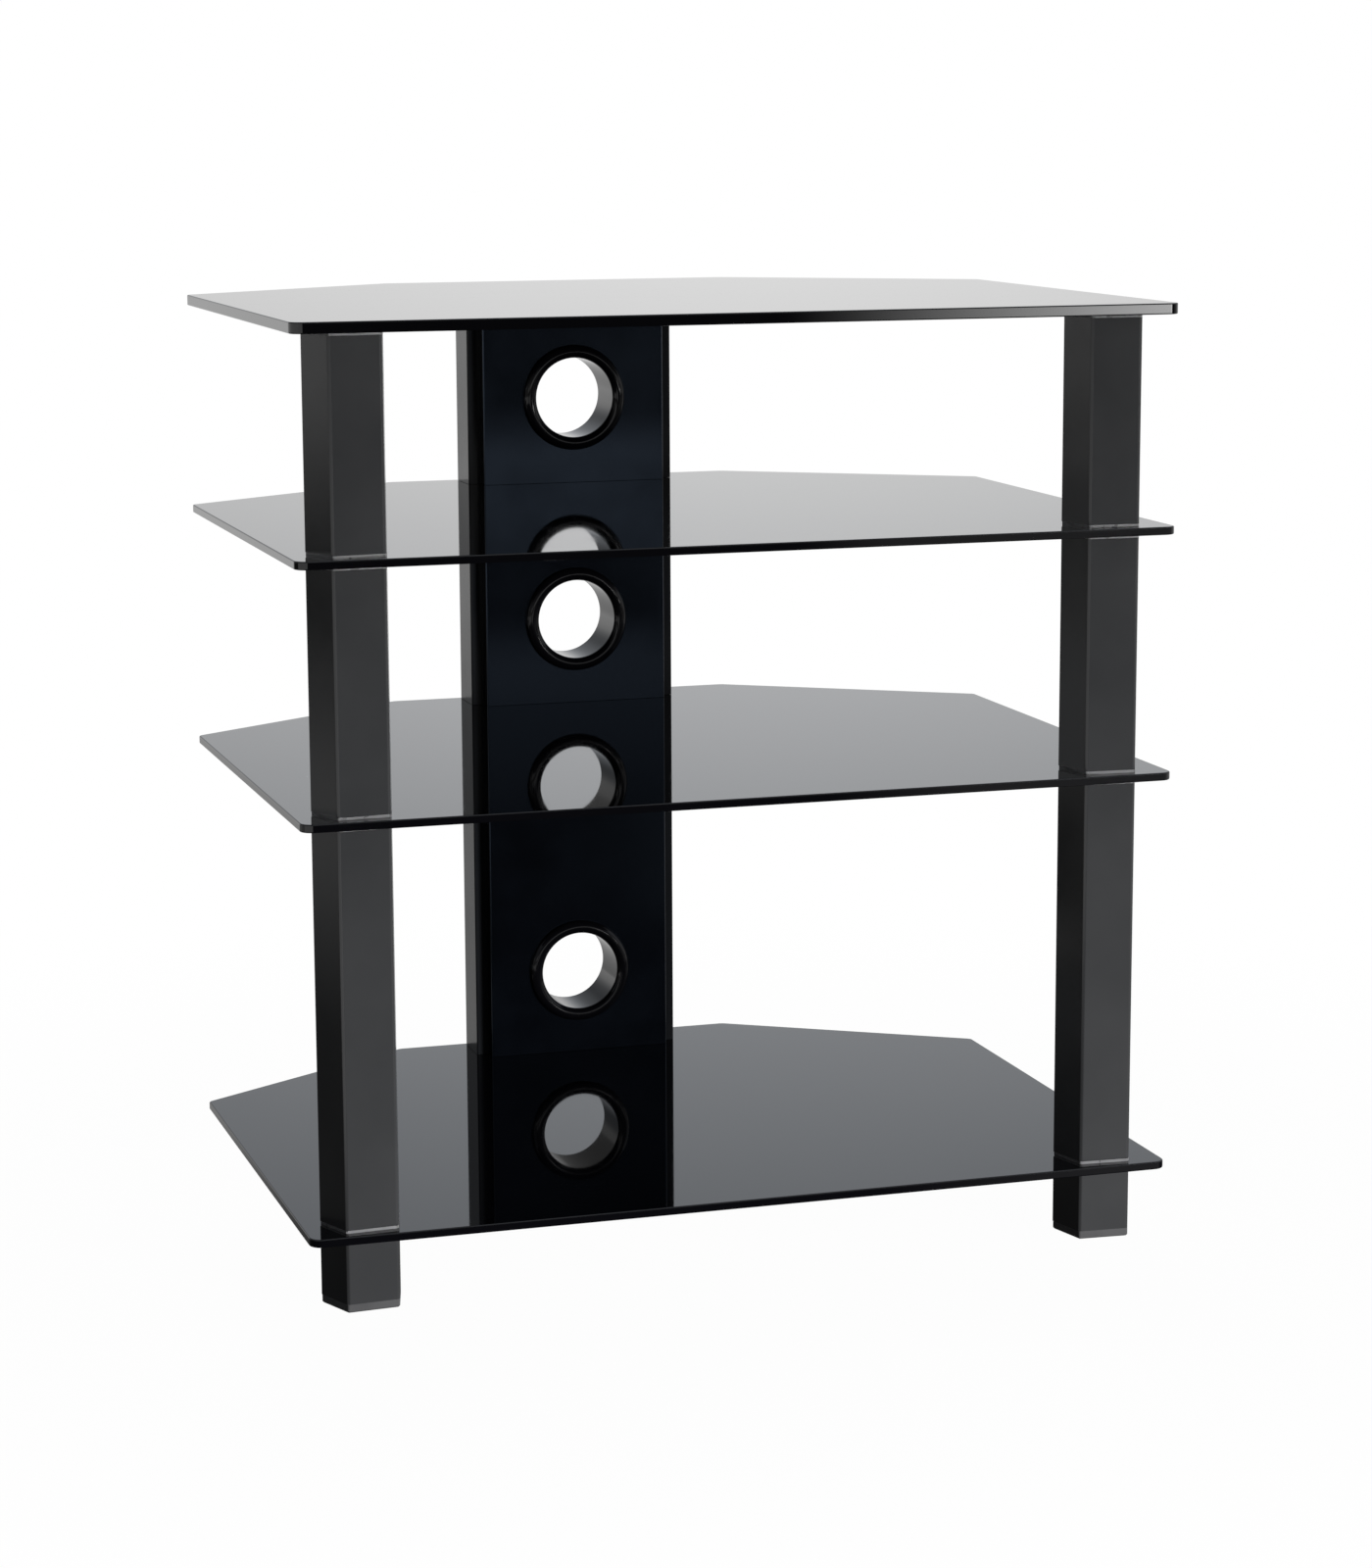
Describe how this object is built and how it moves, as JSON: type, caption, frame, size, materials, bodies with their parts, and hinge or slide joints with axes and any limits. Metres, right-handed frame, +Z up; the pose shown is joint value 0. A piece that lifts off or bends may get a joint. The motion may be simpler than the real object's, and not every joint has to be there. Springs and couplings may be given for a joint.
{
  "type": "tv stand",
  "caption": "Low glass television stand: tiered gloss black hexagonal shelves on charcoal front posts and a rear cable column with round cable holes.",
  "frame": {"origin": "middle of the footprint, on the floor", "axes": "+X to the right seen from the front, +Y to the back, +Z up"},
  "size_m": [0.65, 0.515, 0.695],
  "materials": {
    "black_glass": "opaque gloss black toughened glass with polished edges",
    "post_charcoal": "satin charcoal powder coat",
    "column_charcoal": "satin charcoal powder coat",
    "panel_gloss_black": "gloss black moulded cover",
    "grommet_black": "gloss black moulding",
    "foot_grey": "grey moulded plastic",
    "clear_pad": "milky translucent soft plastic",
    "black_rubber": "thin black rubber",
    "black_nylon": "moulded nylon",
    "zinc_steel": "zinc plated steel"
  },
  "bodies": {
    "root": {"top_glass": "black_glass", "upper_shelf_glass": "black_glass", "lower_shelf_glass": "black_glass", "bottom_shelf_glass": "black_glass", "left_upper_post": "post_charcoal", "left_middle_post": "post_charcoal", "left_lower_post": "post_charcoal", "left_foot_post": "post_charcoal", "left_foot_cap": "foot_grey", "left_pad_under_top": "clear_pad", "left_pad_on_upper": "clear_pad", "left_pad_under_upper": "clear_pad", "left_pad_on_lower": "clear_pad", "left_pad_under_lower": "clear_pad", "left_pad_on_bottom": "clear_pad", "left_pad_under_bottom": "clear_pad", "left_post_plugs": "black_nylon", "left_post_studs": "zinc_steel", "left_bond_disc": "zinc_steel", "right_upper_post": "post_charcoal", "right_middle_post": "post_charcoal", "right_lower_post": "post_charcoal", "right_foot_post": "post_charcoal", "right_foot_cap": "foot_grey", "right_pad_under_top": "clear_pad", "right_pad_on_upper": "clear_pad", "right_pad_under_upper": "clear_pad", "right_pad_on_lower": "clear_pad", "right_pad_under_lower": "clear_pad", "right_pad_on_bottom": "clear_pad", "right_pad_under_bottom": "clear_pad", "right_post_plugs": "black_nylon", "right_post_studs": "zinc_steel", "right_bond_disc": "zinc_steel", "column_upper_body": "column_charcoal", "upper_front_panel": "panel_gloss_black", "upper_cable_grommet": "grommet_black", "upper_lock_ring": "grommet_black", "column_middle_body": "column_charcoal", "middle_front_panel": "panel_gloss_black", "middle_cable_grommet": "grommet_black", "middle_lock_ring": "grommet_black", "column_lower_body": "column_charcoal", "lower_front_panel": "panel_gloss_black", "lower_cable_grommet": "grommet_black", "lower_lock_ring": "grommet_black", "rear_foot_post": "column_charcoal", "rear_foot_cap": "foot_grey", "column_pad_under_top": "black_rubber", "column_pad_on_upper": "black_rubber", "column_pad_under_upper": "black_rubber", "column_pad_on_lower": "black_rubber", "column_pad_under_lower": "black_rubber", "column_pad_on_bottom": "black_rubber", "column_pad_under_bottom": "black_rubber", "column_end_blocks": "black_nylon", "column_studs": "zinc_steel", "column_bond_discs": "zinc_steel", "panel_screws": "zinc_steel"}
  },
  "joints": []
}
